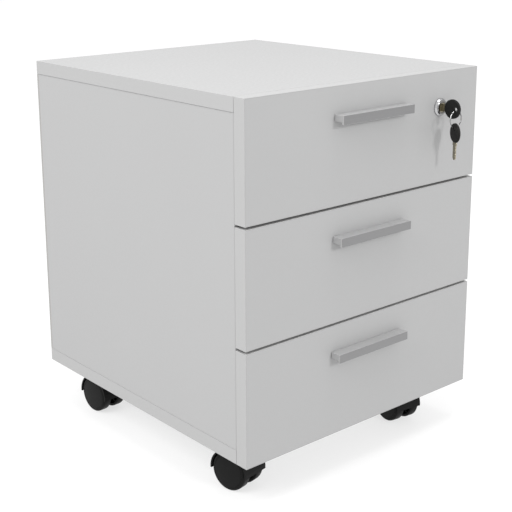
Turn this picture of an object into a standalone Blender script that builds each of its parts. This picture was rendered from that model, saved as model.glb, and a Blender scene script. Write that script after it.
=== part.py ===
"""Mobile three-drawer pedestal on twin-wheel castors, with a central lock and its keys.

Metres, +Z up, the drawers open towards -Y. The origin is on the floor, under the middle of the whole object's
bounding box. Each physical piece is one object, and each moving piece has its origin, or its parent empty, on
its joint axis. Pieces that touch keep CLEARANCE between them.
"""

from math import cos, pi, radians, sin, sqrt

import bmesh
import bpy
from mathutils import Matrix, Vector

# --- driving dimensions -------------------------------------------------------------------------------------
BODY_WIDTH = 0.400
BODY_DEPTH = 0.445  # faces of the drawer fronts to the back edge of the top board
BODY_HEIGHT = 0.442  # without the castors
BOARD = 0.018
BACK_BOARD = 0.003
DRAWER_BOARD = 0.016
SHEET_STEEL = 0.0012
FRONT_SEAM = 0.0015  # between the drawer fronts and the plane that the fittings are set out from
BOARD_SEAM = 0.0006  # between the drawer fronts and the top and bottom boards
FRONT_GAP = 0.003  # between one drawer front and the next
CLEARANCE = 0.0003

DRAWER_LEVELS = ("bottom", "middle", "top")
RUNNER_RISE = 0.021  # a drawer's runner above the lower edge of its front
RUNNER_START = 0.025  # behind the carcass's front edge
RUNNER_LENGTH = 0.390
RUNNER_HEIGHT = 0.0212
RUNNER_LIP_X = 0.171
ROLLER_RADIUS = 0.0075
ROLLER_HEIGHT = 0.0098  # its centre, above the runner's lower edge
ROLLER_INSET = 0.010
DRAWER_LENGTH = 0.408  # the drawer's rear end, behind the carcass's front edge
SIDE_X = 0.1675  # outer face of a drawer's steel side
SIDE_BOTTOM = 0.003  # above the runner's lower edge, like the two heights below
SIDE_TOP = 0.089
SIDE_FLANGE = 0.0176
FLANGE_X = 0.1758
BACK_HEIGHT = 0.063

HANDLE_LENGTH = 0.124
HANDLE_DEPTH = 0.015
HANDLE_HEIGHT = 0.011
HANDLE_WALL = 0.003
HANDLE_FOOT = (0.016, 0.008)  # length and height of the block at each end
HANDLE_DROP = 0.0337  # the handle's top below the top edge of its front

LOCK_X = 0.1275
LOCK_HEIGHT = 0.3955  # above the underside of the body
LOCK_FACE = 0.0047  # the bezel stands this far out of the drawer front
BEZEL_RADIUS = 0.0115
BARREL_RADIUS = 0.0092
PLUG_RADIUS = 0.0061
PIN_RADIUS = 0.0025
PIN_OFFSET = 0.004  # to the right of and below the lock's axis, at rest
BAR_TRAVEL = 2 * PIN_OFFSET  # a quarter turn lifts the locking bar this far

KEY_THICKNESS = 0.0018
KEY_HEIGHT = 0.0068
KEY_CUTS = (0.0012, 0.0006, 0.0016, 0.0009)
BOW_RADIUS = 0.01245
BOW_THICKNESS = 0.0034
BOW_CENTRE = 0.0208  # in front of the drawer front
BOW_HOLE = (0.0056, 0.0028)  # distance of the ring's hole from the bow's centre, and its radius
RING_RADIUS = 0.0108
RING_WIRE = 0.0007
RING_HOLD = 0.0014  # the wire's centre, from the centre of each hole that it passes through
SPARE_KEY_TURN = radians(-25)

CASTOR_HEIGHT = 0.058
CASTOR_INSET = 0.0625  # swivel axes behind the carcass's front edge, and in front of its back edge
CASTOR_LEFT_X = -0.165
CASTOR_RIGHT_X = 0.134
CASTOR_TRAIL = 0.020
WHEEL_RADIUS = 0.025
WHEEL_INNER = 0.0065  # inner and outer faces of a wheel, from the castor's middle plane
WHEEL_OUTER = 0.0206
WHEEL_FACETS = 28

# --- places that follow from them ---------------------------------------------------------------------------
SPARE_KEY_REACH = BOW_RADIUS * cos(SPARE_KEY_TURN) - BOW_THICKNESS / 2 * sin(SPARE_KEY_TURN)
KEY_REACH = BOW_CENTRE + BOW_HOLE[0] + SPARE_KEY_REACH
FRONT_FACE_Y = (KEY_REACH - BODY_DEPTH) / 2
CARCASS_Y = FRONT_FACE_Y + BOARD + FRONT_SEAM
BACK_Y = FRONT_FACE_Y + BODY_DEPTH
UNDERSIDE_Z = CASTOR_HEIGHT
TOP_Z = UNDERSIDE_Z + BODY_HEIGHT
HALF_WIDTH = BODY_WIDTH / 2
INNER_X = HALF_WIDTH - BOARD
FRONT_HEIGHT = (BODY_HEIGHT - 2 * FRONT_GAP) / 3
LOCK_Z = UNDERSIDE_Z + LOCK_HEIGHT
SIDES = {"left": -1, "right": 1}


def front_bottom(level):
    return UNDERSIDE_Z + DRAWER_LEVELS.index(level) * (FRONT_HEIGHT + FRONT_GAP)


def runner_z(level):
    return front_bottom(level) + RUNNER_RISE


# --- scene, materials and solids ----------------------------------------------------------------------------
def clear_scene():
    for item in list(bpy.data.objects):
        bpy.data.objects.remove(item)


def material(name, colour, roughness, metallic=0.0):
    made = bpy.data.materials.new(name)
    made.use_nodes = True
    shader = made.node_tree.nodes["Principled BSDF"]
    shader.inputs["Base Color"].default_value = (*colour, 1.0)
    shader.inputs["Roughness"].default_value = roughness
    shader.inputs["Metallic"].default_value = metallic
    made.diffuse_color = (*colour, 1.0)
    return made


def empty(name, location, turn=0.0):
    made = bpy.data.objects.new(name, None)
    bpy.context.scene.collection.objects.link(made)
    made.location = location
    made.rotation_euler = (0, 0, turn)
    return made


def place(name, mesh, surface, parent=None, location=(0, 0, 0), smooth=False):
    """A named object with this mesh and material, placed under its parent."""
    made = bpy.data.objects.new(name, mesh)
    bpy.context.scene.collection.objects.link(made)
    made.parent = parent
    made.location = location
    if not mesh.materials:
        mesh.materials.append(surface)
    if smooth:
        mesh.shade_smooth()
        mesh.set_sharp_from_angle(angle=radians(35))
    return made


def finished(bm, name):
    bmesh.ops.recalc_face_normals(bm, faces=bm.faces)
    mesh = bpy.data.meshes.new(name)
    bm.to_mesh(mesh)
    bm.free()
    return mesh


def box(low, high, name="box"):
    low, high = Vector(low), Vector(high)
    bm = bmesh.new()
    size = Matrix.Diagonal((*(high - low), 1.0))
    bmesh.ops.create_cube(bm, size=1.0, matrix=Matrix.Translation((low + high) / 2) @ size)
    return finished(bm, name)


def prism(outline, axis, start, end, name="prism"):
    """An outline of (u, v) points, extruded along X, Y or Z. The points are (y, z), (x, z) or (x, y)."""
    along = "XYZ".index(axis)
    bm = bmesh.new()
    corners = []
    for u, v in outline:
        point = [u, v]
        point.insert(along, start)
        corners.append(bm.verts.new(point))
    face = bm.faces.new(corners)
    grown = bmesh.ops.extrude_face_region(bm, geom=[face])["geom"]
    shift = Vector([end - start if i == along else 0.0 for i in range(3)])
    moved = [part for part in grown if isinstance(part, bmesh.types.BMVert)]
    bmesh.ops.translate(bm, vec=shift, verts=moved)
    return finished(bm, name)


def turned(profile, axis, facets, closed=False, start=0.0, name="turned"):
    """(radius, position) points spun about X, Y or Z. A closed profile is a ring, and an open one meets the axis."""
    spun = {"X": Matrix.Rotation(pi / 2, 4, "Y"), "Y": Matrix.Rotation(-pi / 2, 4, "X"), "Z": Matrix()}[axis]
    bm = bmesh.new()
    points = [bm.verts.new((radius * cos(start), radius * sin(start), at)) for radius, at in profile]
    edges = [bm.edges.new(pair) for pair in zip(points, points[1:])]
    if closed:
        edges.append(bm.edges.new((points[-1], points[0])))
    bmesh.ops.spin(bm, geom=points + edges, axis=(0, 0, 1), angle=2 * pi, steps=facets, use_merge=True)
    bmesh.ops.remove_doubles(bm, verts=bm.verts, dist=1e-6)
    bmesh.ops.transform(bm, matrix=spun, verts=bm.verts)
    return finished(bm, name)


def cylinder(radius, axis, start, end, centre=(0, 0, 0), facets=24):
    """A cylinder along X, Y or Z from start to end, about a line through centre."""
    mesh = turned([(0, start), (radius, start), (radius, end), (0, end)], axis, facets)
    mesh.transform(Matrix.Translation(centre))
    return mesh


def arc(radius, first, last, steps, centre=(0.0, 0.0)):
    """Points along a circle from one angle in degrees to another."""
    turns = [radians(first + (last - first) * i / steps) for i in range(steps + 1)]
    return [(centre[0] + radius * cos(t), centre[1] + radius * sin(t)) for t in turns]


def combined(mesh, operation, *others):
    """The mesh joined with, or cut by, the others: operation is UNION or DIFFERENCE."""
    for other in others:
        target = bpy.data.objects.new("target", mesh)
        tool = bpy.data.objects.new("tool", other)
        for item in (target, tool):
            bpy.context.scene.collection.objects.link(item)
        change = target.modifiers.new("Boolean", "BOOLEAN")
        change.operation = operation
        change.object = tool
        bpy.context.view_layer.update()
        result = target.evaluated_get(bpy.context.evaluated_depsgraph_get())
        mesh = bpy.data.meshes.new_from_object(result)
        bpy.data.objects.remove(target)
        bpy.data.objects.remove(tool)
    return mesh


# --- carcass ------------------------------------------------------------------------------------------------
def carcass(melamine, hardboard):
    side_low, side_high = UNDERSIDE_Z + BOARD + CLEARANCE, TOP_Z - BOARD - CLEARANCE
    behind_fronts = FRONT_FACE_Y + BOARD
    for name, low in (("bottom_panel", UNDERSIDE_Z), ("top_panel", TOP_Z - BOARD)):
        mesh = box((-HALF_WIDTH, behind_fronts + BOARD_SEAM, low), (HALF_WIDTH, BACK_Y, low + BOARD), name)
        place(name, mesh, melamine)
    for name, side in SIDES.items():
        across = sorted((side * INNER_X, side * HALF_WIDTH))
        back = BACK_Y - BACK_BOARD - CLEARANCE
        mesh = box((across[0], behind_fronts + CLEARANCE, side_low), (across[1], back, side_high), name)
        place(name + "_side_panel", mesh, melamine)
    back = box((-HALF_WIDTH, BACK_Y - BACK_BOARD, side_low), (HALF_WIDTH, BACK_Y, side_high), "back_panel")
    place("back_panel", back, hardboard)


def cabinet_runner(level, side_name, steel):
    """A C channel on the side panel, with a roller at its front end that carries the drawer's flange."""
    side, base = SIDES[side_name], runner_z(level)
    web, inner = INNER_X - CLEARANCE, INNER_X - CLEARANCE - SHEET_STEEL
    upper = RUNNER_HEIGHT - SHEET_STEEL
    outline = [
        (web, 0),
        (web, RUNNER_HEIGHT),
        (RUNNER_LIP_X, RUNNER_HEIGHT),
        (RUNNER_LIP_X, upper),
        (inner, upper),
        (inner, SHEET_STEEL),
        (RUNNER_LIP_X, SHEET_STEEL),
        (RUNNER_LIP_X, 0),
    ]
    start = CARCASS_Y + RUNNER_START
    outline = [(side * x, base + z) for x, z in outline]
    channel = prism(outline, "Y", start, start + RUNNER_LENGTH)
    centre = (0, start + ROLLER_INSET, base + ROLLER_HEIGHT)
    stud_start = RUNNER_LIP_X + 0.005
    stud = cylinder(0.003, "X", side * stud_start, side * (web - SHEET_STEEL / 2), centre, 12)
    roller = cylinder(ROLLER_RADIUS, "X", side * (RUNNER_LIP_X + 0.0005), side * (stud_start + 0.001), centre, 20)
    mesh = combined(channel, "UNION", stud, roller)
    place(f"{level}_{side_name}_cabinet_runner", mesh, steel, smooth=True)


# --- drawers ------------------------------------------------------------------------------------------------
def drawer_front(level, frame, melamine):
    low = front_bottom(level)
    mesh = box((-HALF_WIDTH, FRONT_FACE_Y, low), (HALF_WIDTH, FRONT_FACE_Y + BOARD, low + FRONT_HEIGHT))
    if level == "top":
        ends = (FRONT_FACE_Y - BOARD, FRONT_FACE_Y + 2 * BOARD)
        hole = cylinder(BARREL_RADIUS + CLEARANCE, "Y", *ends, (LOCK_X, 0, LOCK_Z), 32)
        mesh = combined(mesh, "DIFFERENCE", hole)
    place(f"{level}_drawer_front", mesh, melamine, frame)


def drawer_side(level, side_name, frame, steel):
    """The folded steel side: a shelf inside for the base, a flange outside for the runner, a roller at the back."""
    side, base = SIDES[side_name], runner_z(level)
    inner, shelf = SIDE_X - SHEET_STEEL, SIDE_X - 0.0152
    outline = [
        (shelf, SIDE_BOTTOM),
        (SIDE_X, SIDE_BOTTOM),
        (SIDE_X, SIDE_FLANGE),
        (FLANGE_X, SIDE_FLANGE),
        (FLANGE_X, SIDE_FLANGE + SHEET_STEEL),
        (SIDE_X, SIDE_FLANGE + SHEET_STEEL),
        (SIDE_X, SIDE_TOP),
        (inner, SIDE_TOP),
        (inner, SIDE_BOTTOM + SHEET_STEEL),
        (shelf, SIDE_BOTTOM + SHEET_STEEL),
    ]
    rear = CARCASS_Y + DRAWER_LENGTH
    outline = [(side * x, base + z) for x, z in outline]
    profile = prism(outline, "Y", FRONT_FACE_Y + BOARD + CLEARANCE, rear)
    centre = (0, rear - ROLLER_INSET, base + ROLLER_HEIGHT)
    stud_end = SIDE_X + 0.003
    stud = cylinder(0.003, "X", side * (SIDE_X - SHEET_STEEL / 2), side * stud_end, centre, 12)
    roller = cylinder(ROLLER_RADIUS, "X", side * (stud_end - 0.001), side * (FLANGE_X - 0.0005), centre, 20)
    mesh = combined(profile, "UNION", stud, roller)
    place(f"{level}_drawer_{side_name}_side", mesh, steel, frame, smooth=True)


def drawer_boards(level, frame, board):
    """The base on the two shelves, and the back standing on the base."""
    base = runner_z(level) + SIDE_BOTTOM + SHEET_STEEL + CLEARANCE
    half = SIDE_X - SHEET_STEEL - CLEARANCE
    front, rear = FRONT_FACE_Y + BOARD + CLEARANCE, CARCASS_Y + DRAWER_LENGTH
    floor = base + DRAWER_BOARD
    base_mesh = box((-half, front, base), (half, rear, floor))
    place(f"{level}_drawer_base", base_mesh, board, frame)
    back_low = floor + CLEARANCE
    back_mesh = box((-half, rear - DRAWER_BOARD, back_low), (half, rear, back_low + BACK_HEIGHT))
    place(f"{level}_drawer_back", back_mesh, board, frame)


def handle(level, frame, aluminium):
    """A bar with a flange along its top, a lip that hangs down in front, and a foot at each end."""
    top = front_bottom(level) + FRONT_HEIGHT - HANDLE_DROP
    back, face = FRONT_FACE_Y - CLEARANCE, FRONT_FACE_Y - HANDLE_DEPTH
    lip_back = face + HANDLE_WALL
    half = HANDLE_LENGTH / 2
    outline = [
        (back, top),
        (face, top),
        (face, top - HANDLE_HEIGHT),
        (lip_back, top - HANDLE_HEIGHT),
        (lip_back, top - HANDLE_WALL),
        (back, top - HANDLE_WALL),
    ]
    mesh = prism(outline, "X", -half, half)
    foot_length, foot_height = HANDLE_FOOT
    inside = HANDLE_WALL / 2
    for side in SIDES.values():
        across = sorted((side * half, side * (half - foot_length)))
        foot = box(
            (across[0], lip_back - inside, top - foot_height),
            (across[1], back, top - inside),
        )
        mesh = combined(mesh, "UNION", foot)
    place(f"{level}_drawer_handle", mesh, aluminium, frame)


def drawer_catch(level, frame, zinc):
    """A riveted plate on the right side of the drawer, with the tooth that the locking bar's hook holds."""
    base = runner_z(level)
    plate_x = SIDE_X + CLEARANCE
    plate = box(
        (plate_x, CARCASS_Y + 0.012, base + 0.048),
        (plate_x + SHEET_STEEL, CARCASS_Y + 0.028, base + 0.064),
    )
    tooth = box(
        (plate_x + SHEET_STEEL / 2, CARCASS_Y + 0.012, base + 0.052),
        (0.174, CARCASS_Y + 0.018, base + 0.060),
    )
    place(f"{level}_drawer_catch", combined(plate, "UNION", tooth), zinc, frame)


def drawer(level, surfaces):
    frame = empty(f"{level}_drawer_slide", (0, 0, 0))
    drawer_front(level, frame, surfaces["melamine"])
    for side_name in SIDES:
        drawer_side(level, side_name, frame, surfaces["drawer_steel"])
        cabinet_runner(level, side_name, surfaces["drawer_steel"])
    drawer_boards(level, frame, surfaces["drawer_board"])
    handle(level, frame, surfaces["aluminium"])
    drawer_catch(level, frame, surfaces["zinc"])


# --- central lock -------------------------------------------------------------------------------------------
def lock_housing(surface):
    """The bezel in front of the drawer front and the barrel through it. Positions are along +Y from the face."""
    bore = PLUG_RADIUS + CLEARANCE
    rear = BOARD + 0.0065
    profile = [
        (bore, -LOCK_FACE),
        (BEZEL_RADIUS - 0.0033, -LOCK_FACE),
        (BEZEL_RADIUS - 0.0016, -LOCK_FACE + 0.0008),
        (BEZEL_RADIUS, -0.0016),
        (BEZEL_RADIUS, -CLEARANCE),
        (BARREL_RADIUS, -CLEARANCE),
        (BARREL_RADIUS, rear),
        (bore, rear),
    ]
    mesh = turned(profile, "Y", 32, closed=True)
    place("lock_housing", mesh, surface, location=(LOCK_X, FRONT_FACE_Y, LOCK_Z), smooth=True)


def lock_plug(surface):
    """The turning core: a keyway in its face, and behind the barrel a disc with the eccentric drive pin."""
    face = -LOCK_FACE + CLEARANCE
    disc = BOARD + 0.0068
    pin_start = disc + 0.002
    profile = [(0, face), (PLUG_RADIUS, face), (PLUG_RADIUS, disc), (0.008, disc), (0.008, pin_start), (0, pin_start)]
    core = turned(profile, "Y", 28)
    pin_centre = (PIN_OFFSET, 0, -PIN_OFFSET)
    pin = cylinder(PIN_RADIUS, "Y", pin_start - 0.0003, BOARD + 0.0165, pin_centre, 16)
    half_width, half_height = KEY_THICKNESS / 2 + CLEARANCE, KEY_HEIGHT / 2 + CLEARANCE
    keyway = box((-half_width, face - 0.002, -half_height), (half_width, 0.0145, half_height))
    mesh = combined(combined(core, "UNION", pin), "DIFFERENCE", keyway)
    place("lock_plug", mesh, surface, location=(LOCK_X, FRONT_FACE_Y, LOCK_Z), smooth=True)


def locking_bar(zinc):
    """A bar on the right side panel: a hook for each drawer, and an arm with a window for the lock's pin."""
    front = CARCASS_Y + 0.005
    rail_x = INNER_X - 0.0006 - 0.003
    arm_low = runner_z("top") + SIDE_TOP + 0.0017
    arm_high = arm_low + 0.007
    arm_y = (CARCASS_Y + 0.010, CARCASS_Y + 0.013)
    pin_z = LOCK_Z - PIN_OFFSET
    pin_room = PIN_RADIUS + 0.0006
    rail = box((rail_x, front, runner_z("bottom") + 0.034), (rail_x + 0.003, front + 0.014, arm_high))
    arm = box((LOCK_X - 0.003, arm_y[0], arm_low), (rail_x + 0.0015, arm_y[1], arm_high))
    drop = box((LOCK_X - 0.003, arm_y[0], pin_z - pin_room - 0.0035), (LOCK_X + 0.0125, arm_y[1], arm_high))
    window = box(
        (LOCK_X + PIN_OFFSET - pin_room, arm_y[0] - 0.001, pin_z - pin_room),
        (LOCK_X + PIN_OFFSET * sqrt(2) + pin_room, arm_y[1] + 0.001, pin_z + pin_room),
    )
    hooks = []
    for level in DRAWER_LEVELS:
        low = runner_z(level) + 0.042
        hooks.append(box((0.1702, front, low), (rail_x + 0.0015, front + 0.0055, low + 0.008)))
    mesh = combined(rail, "UNION", arm, drop, *hooks)
    place("locking_bar", combined(mesh, "DIFFERENCE", window), zinc)


# --- keys ---------------------------------------------------------------------------------------------------
def key_blade_mesh():
    """The blade in its own plane, pointing along +Y, with its shoulder and the tang inside the bow."""
    half, tip = KEY_HEIGHT / 2, 0.0139
    shoulder, shoulder_half = (-0.0086, -0.0049), 0.0047
    tang, tang_half = -0.015, 0.0034
    upper = [(tang, tang_half), (shoulder[0], tang_half), (shoulder[0], shoulder_half)]
    upper += [(shoulder[1], shoulder_half), (shoulder[1], half), (tip - 0.0024, half), (tip, 0.001)]
    lower = [(tip, -0.001), (tip - 0.0024, -half)]
    for index, depth in enumerate(KEY_CUTS):
        middle = 0.0088 - 0.003 * index
        lower += [(middle + 0.001, -half), (middle + 0.0003, depth - half)]
        lower += [(middle - 0.0003, depth - half), (middle - 0.001, -half)]
    lower += [(shoulder[1], -half), (shoulder[1], -shoulder_half), (shoulder[0], -shoulder_half)]
    lower += [(shoulder[0], -tang_half), (tang, -tang_half)]
    return prism(upper + lower, "X", -KEY_THICKNESS / 2, KEY_THICKNESS / 2, "key_blade")


def key_bow_mesh():
    """The round grip, with a hole for the ring and a pocket for the blade's tang."""
    half, edge = BOW_THICKNESS / 2, 0.0008
    profile = [
        (0, -half),
        (BOW_RADIUS - edge, -half),
        (BOW_RADIUS, -half + edge),
        (BOW_RADIUS, half - edge),
        (BOW_RADIUS - edge, half),
        (0, half),
    ]
    disc = turned(profile, "X", 32)
    disc.transform(Matrix.Translation((0, -BOW_CENTRE, 0)))
    away, hole_radius = BOW_HOLE
    hole = cylinder(hole_radius, "X", -BOW_THICKNESS, BOW_THICKNESS, (0, -BOW_CENTRE - away, 0), 20)
    room = (KEY_THICKNESS / 2 + CLEARANCE, 0.0034 + CLEARANCE)
    pocket = box((-room[0], -0.0153, -room[1]), (room[0], 0, room[1]))
    return combined(disc, "DIFFERENCE", hole, pocket)


def keys(nickel, plastic, steel):
    """The key in the lock, the ring through its bow, and the spare key that hangs from the ring."""
    away = BOW_HOLE[0]
    blade, bow = key_blade_mesh(), key_bow_mesh()
    key_frame = empty("key_pull", (LOCK_X, FRONT_FACE_Y, LOCK_Z))
    place("key_blade", blade, nickel, key_frame)
    place("key_bow", bow, plastic, key_frame, smooth=True)

    ring_frame = empty("key_ring_swing", (LOCK_X, FRONT_FACE_Y - BOW_CENTRE - away, LOCK_Z - RING_HOLD))
    wire = arc(RING_WIRE, 0, 315, 7)
    ring = turned([(RING_RADIUS + u, v) for u, v in wire], "Y", 28, closed=True)
    place("key_ring", ring, steel, ring_frame, (0, 0, -RING_RADIUS), smooth=True)

    spare_frame = empty("spare_key_swing", ring_frame.location - Vector((0, 0, 2 * RING_RADIUS)))
    held_at = BOW_CENTRE + away + RING_HOLD
    turn = Matrix.Rotation(SPARE_KEY_TURN, 4, "Z") @ Matrix.Rotation(-pi / 2, 4, "X")
    for name, mesh, surface in (("spare_key_blade", blade, nickel), ("spare_key_bow", bow, plastic)):
        spare = place(name, mesh, surface, spare_frame)
        spare.matrix_local = turn @ Matrix.Translation((0, held_at, 0))


# --- castors ------------------------------------------------------------------------------------------------
def castor_plate_mesh():
    """A screw plate with a pressed boss and the kingpin. Heights are above the floor."""
    half, top = 0.021, UNDERSIDE_Z - CLEARANCE
    under, boss_low, pin_low = top - 0.0025, top - 0.0038, 0.034
    plate = box((-half, -half, under), (half, half, top))
    boss = cylinder(0.011, "Z", boss_low, top - 0.001, facets=24)
    pin = cylinder(0.004, "Z", pin_low, top - 0.001, facets=16)
    mesh = combined(plate, "UNION", boss, pin)
    for x in (-0.0155, 0.0155):
        for y in (-0.0155, 0.0155):
            hole = cylinder(0.0024, "Z", under - 0.001, top + 0.001, (x, y, 0), 12)
            mesh = combined(mesh, "DIFFERENCE", hole)
    return mesh


def castor_hood_mesh():
    """A fender over the upper half of both wheels, and the web between them that holds the axle and kingpin."""
    fender, cavity, half_width, web = 0.0282, 0.0262, 0.020, 0.0058
    axle = (-CASTOR_TRAIL, WHEEL_RADIUS)
    mesh = prism(arc(fender, -4, 184, 20, axle), "X", -half_width, half_width)
    at = (0, *axle)
    boss = cylinder(0.008, "X", -web - 0.001, web + 0.001, at, 20)
    socket = cylinder(0.0095, "Z", 0.038, 0.0536, facets=24)
    mesh = combined(mesh, "UNION", boss, socket)
    left = cylinder(cavity, "X", -0.03, -web, at, 32)
    right = cylinder(cavity, "X", web, 0.03, at, 32)
    bore = cylinder(0.004 + CLEARANCE, "Z", 0.0335, 0.060, facets=16)
    axle_hole = cylinder(0.003 + CLEARANCE, "X", -0.01, 0.01, at, 16)
    return combined(mesh, "DIFFERENCE", left, right, bore, axle_hole)


def castor_wheel_mesh(side):
    """A wheel with a blind bore and a smooth outer face. One facet lies flat on the floor."""
    tread = WHEEL_RADIUS / cos(pi / WHEEL_FACETS)
    bore, bore_end = 0.003 + CLEARANCE, 0.0173
    profile = [
        (0, bore_end),
        (bore, bore_end),
        (bore, WHEEL_INNER),
        (tread - 0.0008, WHEEL_INNER),
        (tread, WHEEL_INNER + 0.0008),
        (tread, WHEEL_OUTER - 0.0024),
        (tread - 0.0008, WHEEL_OUTER - 0.0010),
        (tread - 0.0030, WHEEL_OUTER - 0.0003),
        (0, WHEEL_OUTER),
    ]
    profile = [(radius, side * across) for radius, across in profile]
    return turned(profile, "X", WHEEL_FACETS, start=pi / WHEEL_FACETS)


def castor(name, x, y, turn, meshes, surfaces):
    """One castor, its swivel turned about Z. The wheels trail on the -Y side of the kingpin at no turn."""
    plastic, zinc, steel = surfaces["plastic"], surfaces["zinc"], surfaces["axle_steel"]
    place(f"castor_{name}_plate", meshes["plate"], zinc, location=(x, y, 0), smooth=True)
    swivel = empty(f"castor_{name}_swivel", (x, y, 0), turn)
    place(f"castor_{name}_hood", meshes["hood"], plastic, swivel, smooth=True)
    axle_at = (0, -CASTOR_TRAIL, WHEEL_RADIUS)
    place(f"castor_{name}_axle", meshes["axle"], steel, swivel, axle_at, smooth=True)
    for side_name in SIDES:
        place(f"castor_{name}_{side_name}_wheel", meshes[side_name], plastic, swivel, axle_at, smooth=True)


def castors(surfaces):
    meshes = {
        "plate": castor_plate_mesh(),
        "hood": castor_hood_mesh(),
        "axle": cylinder(0.003, "X", -0.017, 0.017, facets=16),
        "left": castor_wheel_mesh(-1),
        "right": castor_wheel_mesh(1),
    }
    front, back = CARCASS_Y + CASTOR_INSET, BACK_Y - CASTOR_INSET
    turned_places = {
        "front_left": (CASTOR_LEFT_X, front, 11),
        "front_right": (CASTOR_RIGHT_X, front, -8),
        "back_left": (CASTOR_LEFT_X, back, 4),
        "back_right": (CASTOR_RIGHT_X, back, -5),
    }
    for name, (x, y, degrees) in turned_places.items():
        castor(name, x, y, radians(degrees), meshes, surfaces)


def main():
    clear_scene()
    surfaces = {
        "melamine": material("melamine", (0.62, 0.62, 0.62), 0.45),
        "hardboard": material("hardboard", (0.58, 0.58, 0.57), 0.6),
        "drawer_board": material("drawer_board", (0.60, 0.60, 0.60), 0.5),
        "drawer_steel": material("drawer_steel", (0.50, 0.51, 0.52), 0.4, 0.3),
        "aluminium": material("aluminium", (0.52, 0.52, 0.53), 0.35, 0.8),
        "zinc": material("zinc", (0.60, 0.61, 0.62), 0.35, 1.0),
        "chrome": material("chrome", (0.75, 0.75, 0.76), 0.1, 1.0),
        "nickel": material("nickel", (0.62, 0.57, 0.42), 0.3, 1.0),
        "steel": material("steel", (0.60, 0.60, 0.61), 0.2, 1.0),
        "axle_steel": material("axle_steel", (0.45, 0.45, 0.46), 0.35, 1.0),
        "plastic": material("plastic", (0.02, 0.02, 0.02), 0.45),
    }
    carcass(surfaces["melamine"], surfaces["hardboard"])
    for level in DRAWER_LEVELS:
        drawer(level, surfaces)
    lock_housing(surfaces["chrome"])
    lock_plug(surfaces["chrome"])
    locking_bar(surfaces["zinc"])
    keys(surfaces["nickel"], surfaces["plastic"], surfaces["steel"])
    castors(surfaces)


main()
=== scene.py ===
from math import cos, pi, radians, sin

import bmesh
import bpy
from mathutils import Matrix, Vector


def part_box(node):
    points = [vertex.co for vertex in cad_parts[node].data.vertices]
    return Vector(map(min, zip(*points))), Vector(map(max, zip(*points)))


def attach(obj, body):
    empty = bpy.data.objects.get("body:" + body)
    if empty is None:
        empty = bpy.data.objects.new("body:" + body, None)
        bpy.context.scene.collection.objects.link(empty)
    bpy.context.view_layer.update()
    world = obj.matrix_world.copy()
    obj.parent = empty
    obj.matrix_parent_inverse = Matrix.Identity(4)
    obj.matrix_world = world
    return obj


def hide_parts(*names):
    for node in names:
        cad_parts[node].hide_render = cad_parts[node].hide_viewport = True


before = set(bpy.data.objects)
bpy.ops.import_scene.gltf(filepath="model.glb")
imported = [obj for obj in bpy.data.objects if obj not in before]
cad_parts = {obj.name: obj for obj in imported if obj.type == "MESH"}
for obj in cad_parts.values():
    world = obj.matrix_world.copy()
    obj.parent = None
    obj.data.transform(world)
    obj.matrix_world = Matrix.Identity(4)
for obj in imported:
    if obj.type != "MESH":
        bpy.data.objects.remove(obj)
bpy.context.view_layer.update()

# --- the look ---------------------------------------------------------------------------------------------------
MELAMINE = (0.357, 0.357, 0.358)
BANDING = (0.357, 0.357, 0.357)
DRAWER_BOARD = (0.36, 0.36, 0.36)
HARDBOARD = (0.33, 0.325, 0.315)
POWDER_COAT = (0.33, 0.34, 0.35)
ANODISED = (0.370, 0.370, 0.372)
# painted shade: the handles' faces towards -Y, darker than their lit upper faces
ANODISED_PAINTED_SHADE = (0.145, 0.145, 0.147)
ZINC = (0.55, 0.56, 0.58)
CHROME = (0.50, 0.50, 0.51)
# painted dark reflection on the lock housing's faces towards -Y
LOCK_PAINTED_REFLECTION = (0.16, 0.155, 0.15)
# the plug's brass tone, darkened by a painted dark reflection on its faces towards -Y
PLUG_BRASS_AND_PAINTED_REFLECTION = (0.22, 0.20, 0.14)
NICKEL = (0.36, 0.33, 0.25)
RING_STEEL = (0.30, 0.30, 0.30)
AXLE_STEEL = (0.40, 0.40, 0.41)
PLASTIC = (0.0040, 0.0040, 0.0039)
NYLON = (0.62, 0.61, 0.57)
BAND_THICKNESS = 0.0010
FLOOR_COLOUR = (0.27, 0.27, 0.27)
FLOOR_GLOW = 0.67
FLOOR_DROP = 0.0002  # keeps the floor clear of the wheels' lowest points

# --- studio lights: azimuth and elevation in degrees, size in metres, power in watts ------------------------------
LIGHT_TARGET = (0.0, -0.1, 0.28)
LIGHT_DISTANCE = 3.0
LIGHTS = {
    "key_light": (8, 25, 0.40, 27),
    "side_light": (-88, 42, 1.6, 58),
    "top_light": (20, 85, 1.4, 36),
}

# --- camera: where it stands, in metres and degrees, and its lens --------------------------------------------------
CAMERA_PLACE = (-0.9506, -1.0924, 0.6862)
CAMERA_AZIMUTH, CAMERA_ELEVATION, CAMERA_ROLL = 40.20, 14.05, -0.354
CAMERA_LENS, CAMERA_SHIFT = 76.46, (0.0211, -0.1234)

LEVELS = ("bottom", "middle", "top")
SIDES = ("left", "right")
CORNERS = ("front_left", "front_right", "back_left", "back_right")
CASTOR_TURNS = {"front_left": 11, "front_right": -8, "back_left": 4, "back_right": -5}
WHEEL_RADIUS = 0.025
WHEEL_INNER, WHEEL_OUTER = 0.0065, 0.0206  # its two faces, from the castor's middle plane
WHEEL_SEGMENTS = 72
WHEEL_RIBS = 8
SCREW_SEGMENTS = 24
SCREW_PITCH = 0.0155  # from the middle of a castor's plate to each hole, along X and Y
SCREW_SEAT = 0.0026  # the screw heads' upper ends, below the top of their plate
TYRE_SEGMENTS = 40
ROLLER_HEIGHT = 0.0098  # a roller's centre above the cabinet runner's lower edge
ROLLER_INSET = 0.010  # a roller's centre from the end of the profile that carries it
FRONT_ROLLER_X, REAR_ROLLER_X = 0.1712, 0.1717  # inner faces of the rollers' treads
EDGE_ANGLE = 40  # degrees: sharper edges than this are softened
BOARD_EDGE, SIDE_PANEL_EDGE = 0.0004, 0.0002


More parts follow.
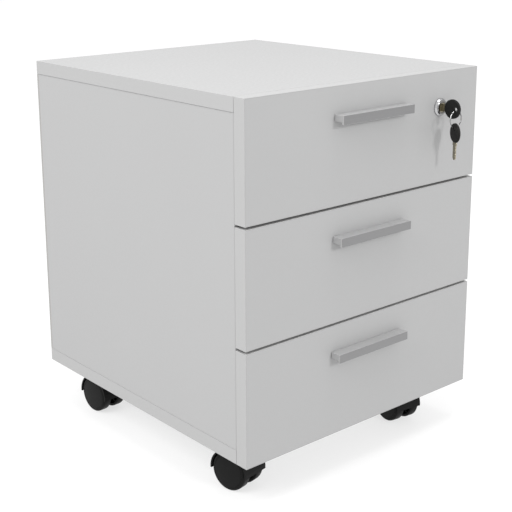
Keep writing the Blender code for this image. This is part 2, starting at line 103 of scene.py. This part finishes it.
# --- node materials -----------------------------------------------------------------------------------------------
class Finish:
    """A procedural material, with short ways to add the nodes that its surface needs."""

    def __init__(self, name, colour, roughness, metallic=0.0):
        self.material = bpy.data.materials.new(name)
        self.material.use_nodes = True
        self.material.diffuse_color = (*colour, 1.0)
        self.tree = self.material.node_tree
        self.shader = self.tree.nodes["Principled BSDF"]
        self.shader.inputs["Base Color"].default_value = (*colour, 1.0)
        self.shader.inputs["Roughness"].default_value = roughness
        self.shader.inputs["Metallic"].default_value = metallic
        self.where = self.add("ShaderNodeTexCoord").outputs["Object"]
        self.bumps = None

    def add(self, kind, **settings):
        made = self.tree.nodes.new(kind)
        for key, value in settings.items():
            setattr(made, key, value)
        return made

    def feed(self, socket, value):
        if isinstance(value, bpy.types.NodeSocket):
            self.tree.links.new(value, socket)
        else:
            socket.default_value = value

    def math(self, operation, *values):
        made = self.add("ShaderNodeMath", operation=operation)
        for socket, value in zip(made.inputs, values):
            self.feed(socket, value)
        return made.outputs[0]

    def noise(self, scale, detail=3.0, stretch=(1, 1, 1)):
        mapping = self.add("ShaderNodeMapping")
        mapping.inputs["Scale"].default_value = stretch
        self.feed(mapping.inputs["Vector"], self.where)
        made = self.add("ShaderNodeTexNoise")
        made.inputs["Scale"].default_value = scale
        made.inputs["Detail"].default_value = detail
        self.feed(made.inputs["Vector"], mapping.outputs[0])
        return made.outputs[0]

    def ramp(self, value, low, high, from_low=0.3, from_high=0.7):
        made = self.add("ShaderNodeMapRange")
        for name, number in zip(("From Min", "From Max", "To Min", "To Max"), (from_low, from_high, low, high)):
            made.inputs[name].default_value = number
        self.feed(made.inputs["Value"], value)
        return made.outputs[0]

    def tint(self, factor, colour):
        """Mixes this colour over the base colour, by factor."""
        base = self.shader.inputs["Base Color"]
        mix = self.add("ShaderNodeMix", data_type="RGBA")
        self.feed(mix.inputs["Factor"], factor)
        self.feed(mix.inputs[6], self.source(base))
        self.feed(mix.inputs[7], (*colour, 1.0))
        self.feed(base, mix.outputs[2])

    def source(self, socket):
        return socket.links[0].from_socket if socket.is_linked else tuple(socket.default_value)

    def towards_front(self, low, high):
        """1 on faces whose normal's Y is below low, and 0 above high."""
        normal = self.add("ShaderNodeSeparateXYZ")
        self.feed(normal.inputs[0], self.add("ShaderNodeNewGeometry").outputs["True Normal"])
        return self.ramp(normal.outputs[1], 1.0, 0.0, low, high)

    def roughen(self, value):
        self.feed(self.shader.inputs["Roughness"], value)

    def bump(self, height, strength, distance):
        made = self.add("ShaderNodeBump")
        made.inputs["Strength"].default_value = strength
        made.inputs["Distance"].default_value = distance
        self.feed(made.inputs["Height"], height)
        if self.bumps:
            self.feed(made.inputs["Normal"], self.bumps)
        self.bumps = made.outputs["Normal"]
        self.feed(self.shader.inputs["Normal"], self.bumps)


def scaled(colour, amount):
    """The colour with every channel multiplied by amount."""
    return tuple(channel * amount for channel in colour)


def board_finish(name, colour, size=None):
    """Pearl-textured melamine. With a board's size, its edges are banded, and a fine joint shows round its faces."""
    look = Finish(name, colour, 0.5)
    look.shader.inputs["Specular IOR Level"].default_value = 0.35
    look.tint(look.ramp(look.noise(7.0, 4.0), 0.0, 0.35), scaled(colour, 0.965))
    look.tint(look.ramp(look.noise(1400.0, 2.0), 0.0, 0.5), scaled(colour, 0.95))
    look.roughen(look.ramp(look.noise(260.0, 2.0), 0.44, 0.56))
    look.bump(look.noise(1100.0, 3.0), 0.18, 0.0001)
    if size:
        banded_edges(look, colour, size)
    return look.material


def banded_edges(look, colour, size):
    """The banding's colour on the edges and on its own thickness in the faces, and the joint inside it."""
    thin = min(range(3), key=lambda axis: size[axis])
    generated = look.add("ShaderNodeSeparateXYZ")
    look.feed(generated.inputs[0], look.add("ShaderNodeTexCoord").outputs["Generated"])
    normal = look.add("ShaderNodeSeparateXYZ")
    look.feed(normal.inputs[0], look.add("ShaderNodeNewGeometry").outputs["True Normal"])
    distances = []
    for axis in range(3):
        if axis != thin:
            place = generated.outputs[axis]
            nearest = look.math("MINIMUM", place, look.math("SUBTRACT", 1.0, place))
            distances.append(look.math("MULTIPLY", nearest, size[axis]))
    edge = look.math("MINIMUM", *distances)
    on_face = look.math("GREATER_THAN", look.math("ABSOLUTE", normal.outputs[thin]), 0.7)
    on_edge = look.math("SUBTRACT", 1.0, on_face)
    off_joint = look.math("ABSOLUTE", look.math("SUBTRACT", edge, BAND_THICKNESS))
    joint = look.math("MULTIPLY", look.ramp(off_joint, 0.55, 0.0, 0.00008, 0.0004), on_face)
    in_band = look.math("MULTIPLY", look.math("LESS_THAN", edge, BAND_THICKNESS), on_face)
    look.tint(look.math("MAXIMUM", on_edge, in_band), BANDING)
    look.tint(joint, scaled(colour, 0.72))


def hardboard_finish():
    look = Finish("scene_hardboard", HARDBOARD, 0.62)
    look.tint(look.ramp(look.noise(520.0, 5.0, (1.0, 1.0, 0.35)), 0.0, 0.6), scaled(HARDBOARD, 0.84))
    look.tint(look.ramp(look.noise(18.0, 3.0), 0.0, 0.3), scaled(HARDBOARD, 0.93))
    look.roughen(look.ramp(look.noise(300.0), 0.52, 0.72))
    look.bump(look.noise(650.0, 4.0, (1.0, 1.0, 0.4)), 0.25, 0.0002)
    return look.material


def powder_coat_finish():
    look = Finish("scene_powder_coat", POWDER_COAT, 0.42, 0.1)
    look.tint(look.ramp(look.noise(30.0), 0.0, 0.3), scaled(POWDER_COAT, 0.92))
    look.roughen(look.ramp(look.noise(160.0), 0.36, 0.5))
    look.bump(look.noise(750.0, 2.0), 0.25, 0.00015)
    return look.material


def anodised_finish():
    """Satin anodised bar, drawn along X, with painted shade that darkens its faces towards -Y."""
    look = Finish("scene_anodised", ANODISED, 0.42, 0.2)
    drawn = look.noise(900.0, 3.0, (0.02, 1.0, 1.0))
    look.tint(look.ramp(drawn, 0.0, 0.5), scaled(ANODISED, 0.88))
    # painted shade on the faces towards -Y
    look.tint(look.towards_front(-0.97, -0.85), ANODISED_PAINTED_SHADE)
    look.roughen(look.ramp(drawn, 0.34, 0.5))
    look.bump(drawn, 0.12, 0.00008)
    look.shader.inputs["Anisotropic"].default_value = 0.35
    look.shader.inputs["Coat Weight"].default_value = 1.0
    look.shader.inputs["Coat Roughness"].default_value = 0.18
    look.shader.inputs["Coat IOR"].default_value = 1.6
    return look.material


def zinc_finish():
    look = Finish("scene_zinc", ZINC, 0.34, 1.0)
    cells = look.add("ShaderNodeTexVoronoi")
    cells.inputs["Scale"].default_value = 260.0
    look.feed(cells.inputs["Vector"], look.where)
    spangle = cells.outputs["Color"]
    look.tint(look.ramp(spangle, 0.0, 0.35), scaled(ZINC, 0.78))
    look.roughen(look.ramp(look.noise(400.0), 0.26, 0.46))
    look.bump(look.noise(600.0), 0.08, 0.0001)
    return look.material


def polished_finish(name, colour, low, high, wear):
    """Bright metal: fine scratches set its roughness, and a faint film dulls it."""
    look = Finish(name, colour, low, 1.0)
    look.tint(look.ramp(look.noise(220.0, 4.0), 0.0, wear), scaled(colour, 0.55))
    look.roughen(look.ramp(look.noise(900.0, 4.0, (1.0, 0.15, 1.0)), low, high))
    look.bump(look.noise(1600.0, 2.0), 0.04, 0.00005)
    return look.material


def lock_finish(name, colour, front_tone_and_painted_reflection):
    """Bright metal whose faces towards -Y are darkened: a painted dark reflection, which on the plug also carries
    its brass tone.
    """
    look = Finish(name, colour, 0.1, 1.0)
    # painted dark reflection on the faces towards -Y, with the plug's brass tone
    look.tint(look.towards_front(-0.95, -0.80), front_tone_and_painted_reflection)
    look.tint(look.ramp(look.noise(300.0, 4.0), 0.0, 0.25), scaled(colour, 0.5))
    look.roughen(look.ramp(look.noise(900.0, 4.0), 0.08, 0.22))
    look.bump(look.noise(1600.0, 2.0), 0.04, 0.00005)
    return look.material


def plastic_finish(name, colour, low=0.38, high=0.52):
    """Moulded plastic with a fine eroded grain."""
    look = Finish(name, colour, low)
    look.tint(look.ramp(look.noise(45.0, 4.0), 0.0, 0.5), scaled(colour, 1.6))
    look.roughen(look.ramp(look.noise(500.0), low, high))
    look.bump(look.noise(2600.0, 2.0), 0.22, 0.0001)
    look.shader.inputs["Specular IOR Level"].default_value = 0.11
    return look.material


# --- meshes of the pieces that are finer than their CAD solids -----------------------------------------------------
def mesh_object(name, bm, material):
    bmesh.ops.recalc_face_normals(bm, faces=bm.faces)
    mesh = bpy.data.meshes.new(name)
    bm.to_mesh(mesh)
    bm.free()
    mesh.shade_smooth()
    mesh.set_sharp_from_angle(angle=radians(35))
    mesh.materials.append(material)
    made = bpy.data.objects.new(name, mesh)
    bpy.context.scene.collection.objects.link(made)
    return made


def add_turned(bm, profile, segments, matrix):
    """Adds (radius, position) points spun about Z, then moved by matrix."""
    points = [bm.verts.new((radius, 0.0, at)) for radius, at in profile]
    edges = [bm.edges.new(pair) for pair in zip(points, points[1:])]
    before = set(bm.verts) - set(points)
    bmesh.ops.spin(bm, geom=points + edges, axis=(0, 0, 1), angle=2 * pi, steps=segments, use_merge=True)
    added = [vertex for vertex in bm.verts if vertex not in before]
    bmesh.ops.remove_doubles(bm, verts=added, dist=1e-6)
    added = [vertex for vertex in bm.verts if vertex not in before]
    bmesh.ops.transform(bm, matrix=matrix, verts=added)


def add_box(bm, low, high, matrix):
    low, high = Vector(low), Vector(high)
    place = matrix @ Matrix.Translation((low + high) / 2) @ Matrix.Diagonal((*(high - low), 1.0))
    bmesh.ops.create_cube(bm, size=1.0, matrix=place)


def middle(node):
    low, high = (Vector(corner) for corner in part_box(node))
    return (low + high) / 2


def castor_matrix(corner):
    """The frame of one castor's axle: X along the axle, outwards on the right, at the axle's height."""
    place = middle(f"castor_{corner}_axle")
    place.z = WHEEL_RADIUS
    return Matrix.Translation(place) @ Matrix.Rotation(radians(CASTOR_TURNS[corner]), 4, "Z")


def wheel(corner, side, plastic):
    """A moulded wheel: a dished outer disc with a rim, and on its inner side a hub and ribs."""
    inner, outer, radius = WHEEL_INNER, WHEEL_OUTER, WHEEL_RADIUS
    profile = [
        (0.0, outer),
        (0.008, outer - 0.0001),
        (0.016, outer - 0.0004),
        (0.0208, outer - 0.0008),
        (0.0212, outer - 0.0012),
        (0.0216, outer - 0.0008),
        (0.0228, outer - 0.0009),
        (0.0240, outer - 0.0015),
        (0.0247, outer - 0.0025),
        (radius, outer - 0.0040),
        (radius, inner + 0.0012),
        (0.0247, inner + 0.0004),
        (0.0241, inner),
        (0.0222, inner),
        (0.0218, inner + 0.0004),
        (0.0214, inner + 0.0060),
        (0.0078, inner + 0.0060),
        (0.0074, inner + 0.0004),
        (0.0070, inner),
        (0.0034, inner),
        (0.0033, inner + 0.0107),
        (0.0, inner + 0.0108),
    ]
    sign = 1 if side == "right" else -1
    along = Matrix.Rotation(sign * pi / 2, 4, "Y")
    place = castor_matrix(corner) @ along
    bm = bmesh.new()
    add_turned(bm, profile, WHEEL_SEGMENTS, place)
    for index in range(WHEEL_RIBS):
        turn = place @ Matrix.Rotation(index * 2 * pi / WHEEL_RIBS, 4, "Z")
        add_box(bm, (0.0072, -0.0005, inner + 0.0008), (0.0216, 0.0005, inner + 0.0062), turn)
    made = mesh_object(f"wheel_{corner}_{side}", bm, plastic)
    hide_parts(f"castor_{corner}_{side}_wheel")
    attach(made, f"{corner}_{side}_wheel")


def plate_screws(corner, zinc):
    """Four pan-head screws, each with a recess, in the holes of a castor's plate."""
    head = [
        (0.0, -0.0006),
        (0.0009, -0.0006),
        (0.0011, -0.0017),
        (0.0022, -0.0015),
        (0.0034, -0.0008),
        (0.0037, -0.0001),
        (0.0020, 0.0),
        (0.0020, 0.0020),
        (0.0, 0.0020),
    ]
    plate = f"castor_{corner}_plate"
    place = middle(plate)
    place.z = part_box(plate)[1][2] - SCREW_SEAT
    bm = bmesh.new()
    for x in (-SCREW_PITCH, SCREW_PITCH):
        for y in (-SCREW_PITCH, SCREW_PITCH):
            add_turned(bm, head, SCREW_SEGMENTS, Matrix.Translation(place + Vector((x, y, 0))))
    made = mesh_object(f"plate_screws_{corner}", bm, zinc)
    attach(made, "cabinet")


def roller_tyre(name, x, y, z, side, body, nylon):
    """The nylon tread round a runner's roller."""
    bore, rim, tread, width = 0.0030, 0.0072, 0.0076, 0.0045
    bevel = 0.0005
    profile = [(bore, 0.0), (rim, 0.0), (tread, bevel), (tread, width - bevel), (rim, width), (bore, width)]
    bm = bmesh.new()
    sign = 1 if side == "right" else -1
    place = Matrix.Translation((x, y, z)) @ Matrix.Rotation(sign * pi / 2, 4, "Y")
    add_turned(bm, profile, TYRE_SEGMENTS, place)
    made = mesh_object(name, bm, nylon)
    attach(made, body)


def rollers(nylon):
    """Each cabinet runner has its roller at the front, and each drawer side at the back."""
    for level in LEVELS:
        drawer = f"{level}_drawer"
        for side in SIDES:
            sign = 1 if side == "right" else -1
            runner_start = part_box(f"{level}_{side}_cabinet_runner")[0]
            height = runner_start[2] + ROLLER_HEIGHT
            front = runner_start[1] + ROLLER_INSET
            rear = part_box(f"{drawer}_{side}_side")[1][1] - ROLLER_INSET
            name = f"{level}_{side}_front_roller"
            roller_tyre(name, sign * FRONT_ROLLER_X, front, height, side, "cabinet", nylon)
            name = f"{level}_{side}_rear_roller"
            roller_tyre(name, sign * REAR_ROLLER_X, rear, height, side, drawer, nylon)


# --- finishes on the CAD nodes ------------------------------------------------------------------------------------
def size_of(node):
    low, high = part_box(node)
    return [b - a for a, b in zip(low, high)]


def dress(node, material, bevel=0.0, segments=2):
    """Gives a CAD node its finish, and softens its edges."""
    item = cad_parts[node]
    item.data.materials.clear()
    item.data.materials.append(material)
    if bevel:
        weld = item.modifiers.new("Weld", "WELD")
        weld.merge_threshold = 0.00001
        soft = item.modifiers.new("Bevel", "BEVEL")
        soft.width = bevel
        soft.segments = segments
        soft.limit_method = "ANGLE"
        soft.angle_limit = radians(EDGE_ANGLE)
        soft.use_clamp_overlap = True
        soft.harden_normals = True


def dress_boards():
    edges = {"top_panel": BOARD_EDGE, "bottom_panel": BOARD_EDGE}
    edges.update({f"{side}_side_panel": SIDE_PANEL_EDGE for side in SIDES})
    edges.update({f"{level}_drawer_front": BOARD_EDGE for level in LEVELS})
    for node, edge in edges.items():
        dress(node, board_finish(f"scene_{node}", MELAMINE, size_of(node)), edge, 3)
    inside = board_finish("scene_drawer_board", DRAWER_BOARD)
    for level in LEVELS:
        dress(f"{level}_drawer_base", inside, 0.0003)
        dress(f"{level}_drawer_back", inside, 0.0004)
    dress("back_panel", hardboard_finish(), 0.0003)


def dress_metal():
    steel, aluminium, zinc = powder_coat_finish(), anodised_finish(), zinc_finish()
    for level in LEVELS:
        for side in SIDES:
            dress(f"{level}_drawer_{side}_side", steel)
            dress(f"{level}_{side}_cabinet_runner", steel)
        dress(f"{level}_drawer_handle", aluminium, 0.0005, 3)
        dress(f"{level}_drawer_catch", zinc, 0.0003)
    dress("locking_bar", zinc, 0.0003)
    dress("lock_housing", lock_finish("scene_chrome", CHROME, LOCK_PAINTED_REFLECTION))
    dress("lock_plug", lock_finish("scene_plug", CHROME, PLUG_BRASS_AND_PAINTED_REFLECTION))
    nickel = polished_finish("scene_nickel", NICKEL, 0.22, 0.38, 0.5)
    for node in ("key_blade", "spare_key_blade"):
        dress(node, nickel, 0.0002)
    dress("key_ring", polished_finish("scene_ring_steel", RING_STEEL, 0.12, 0.25, 0.3))
    axle = polished_finish("scene_axle_steel", AXLE_STEEL, 0.25, 0.4, 0.4)
    for corner in CORNERS:
        dress(f"castor_{corner}_plate", zinc)
        dress(f"castor_{corner}_axle", axle)
    return zinc


def dress_plastic():
    plastic = plastic_finish("scene_black_plastic", PLASTIC)
    bows = plastic_finish("scene_bow_plastic", scaled(PLASTIC, 2.4), 0.42, 0.58)
    for corner in CORNERS:
        dress(f"castor_{corner}_hood", plastic)
    for node in ("key_bow", "spare_key_bow"):
        dress(node, bows)
    return plastic


# --- studio --------------------------------------------------------------------------------------------------------
def softbox(name, azimuth, elevation, size, power):
    """A square area light that faces the pedestal. Azimuth 0 is in front of the drawers, and 90 on their right."""
    turn, rise = radians(azimuth), radians(elevation)
    away = Vector((sin(turn) * cos(rise), -cos(turn) * cos(rise), sin(rise)))
    light = bpy.data.lights.new(name, "AREA")
    light.size = size
    light.energy = power
    made = bpy.data.objects.new(name, light)
    bpy.context.scene.collection.objects.link(made)
    made.location = Vector(LIGHT_TARGET) + away * LIGHT_DISTANCE
    made.rotation_euler = away.to_track_quat("Z", "Y").to_euler()


def studio():
    world = bpy.data.worlds.new("studio")
    world.use_nodes = True
    background = world.node_tree.nodes["Background"]
    background.inputs["Color"].default_value = (1.0, 1.0, 1.0, 1.0)
    background.inputs["Strength"].default_value = 1.0
    bpy.context.scene.world = world
    for name, (azimuth, elevation, size, power) in LIGHTS.items():
        softbox(name, azimuth, elevation, size, power)
    look = Finish("scene_floor", FLOOR_COLOUR, 0.7)
    look.shader.inputs["Emission Color"].default_value = (1.0, 1.0, 1.0, 1.0)
    look.shader.inputs["Emission Strength"].default_value = FLOOR_GLOW
    look.roughen(look.ramp(look.noise(3.0), 0.65, 0.8))
    bm = bmesh.new()
    bmesh.ops.create_grid(bm, x_segments=1, y_segments=1, size=30.0)
    floor = mesh_object("floor", bm, look.material)
    floor.location.z = -FLOOR_DROP
    bpy.context.scene.view_settings.view_transform = "Standard"


def camera():
    data = bpy.data.cameras.new("camera")
    data.sensor_width = 36.0
    data.lens = CAMERA_LENS
    data.shift_x, data.shift_y = CAMERA_SHIFT
    data.clip_end = 200.0
    made = bpy.data.objects.new("camera", data)
    bpy.context.scene.collection.objects.link(made)
    made.location = CAMERA_PLACE
    turn = Matrix.Rotation(radians(-CAMERA_AZIMUTH), 4, "Z")
    tilt = Matrix.Rotation(radians(90 - CAMERA_ELEVATION), 4, "X")
    roll = Matrix.Rotation(radians(CAMERA_ROLL), 4, "Z")
    made.rotation_euler = (turn @ tilt @ roll).to_euler()
    bpy.context.scene.camera = made


def main():
    dress_boards()
    zinc = dress_metal()
    plastic = dress_plastic()
    nylon = plastic_finish("scene_nylon", NYLON, 0.3, 0.42)
    for corner in CORNERS:
        plate_screws(corner, zinc)
        for side in SIDES:
            wheel(corner, side, plastic)
    rollers(nylon)
    studio()
    camera()


main()
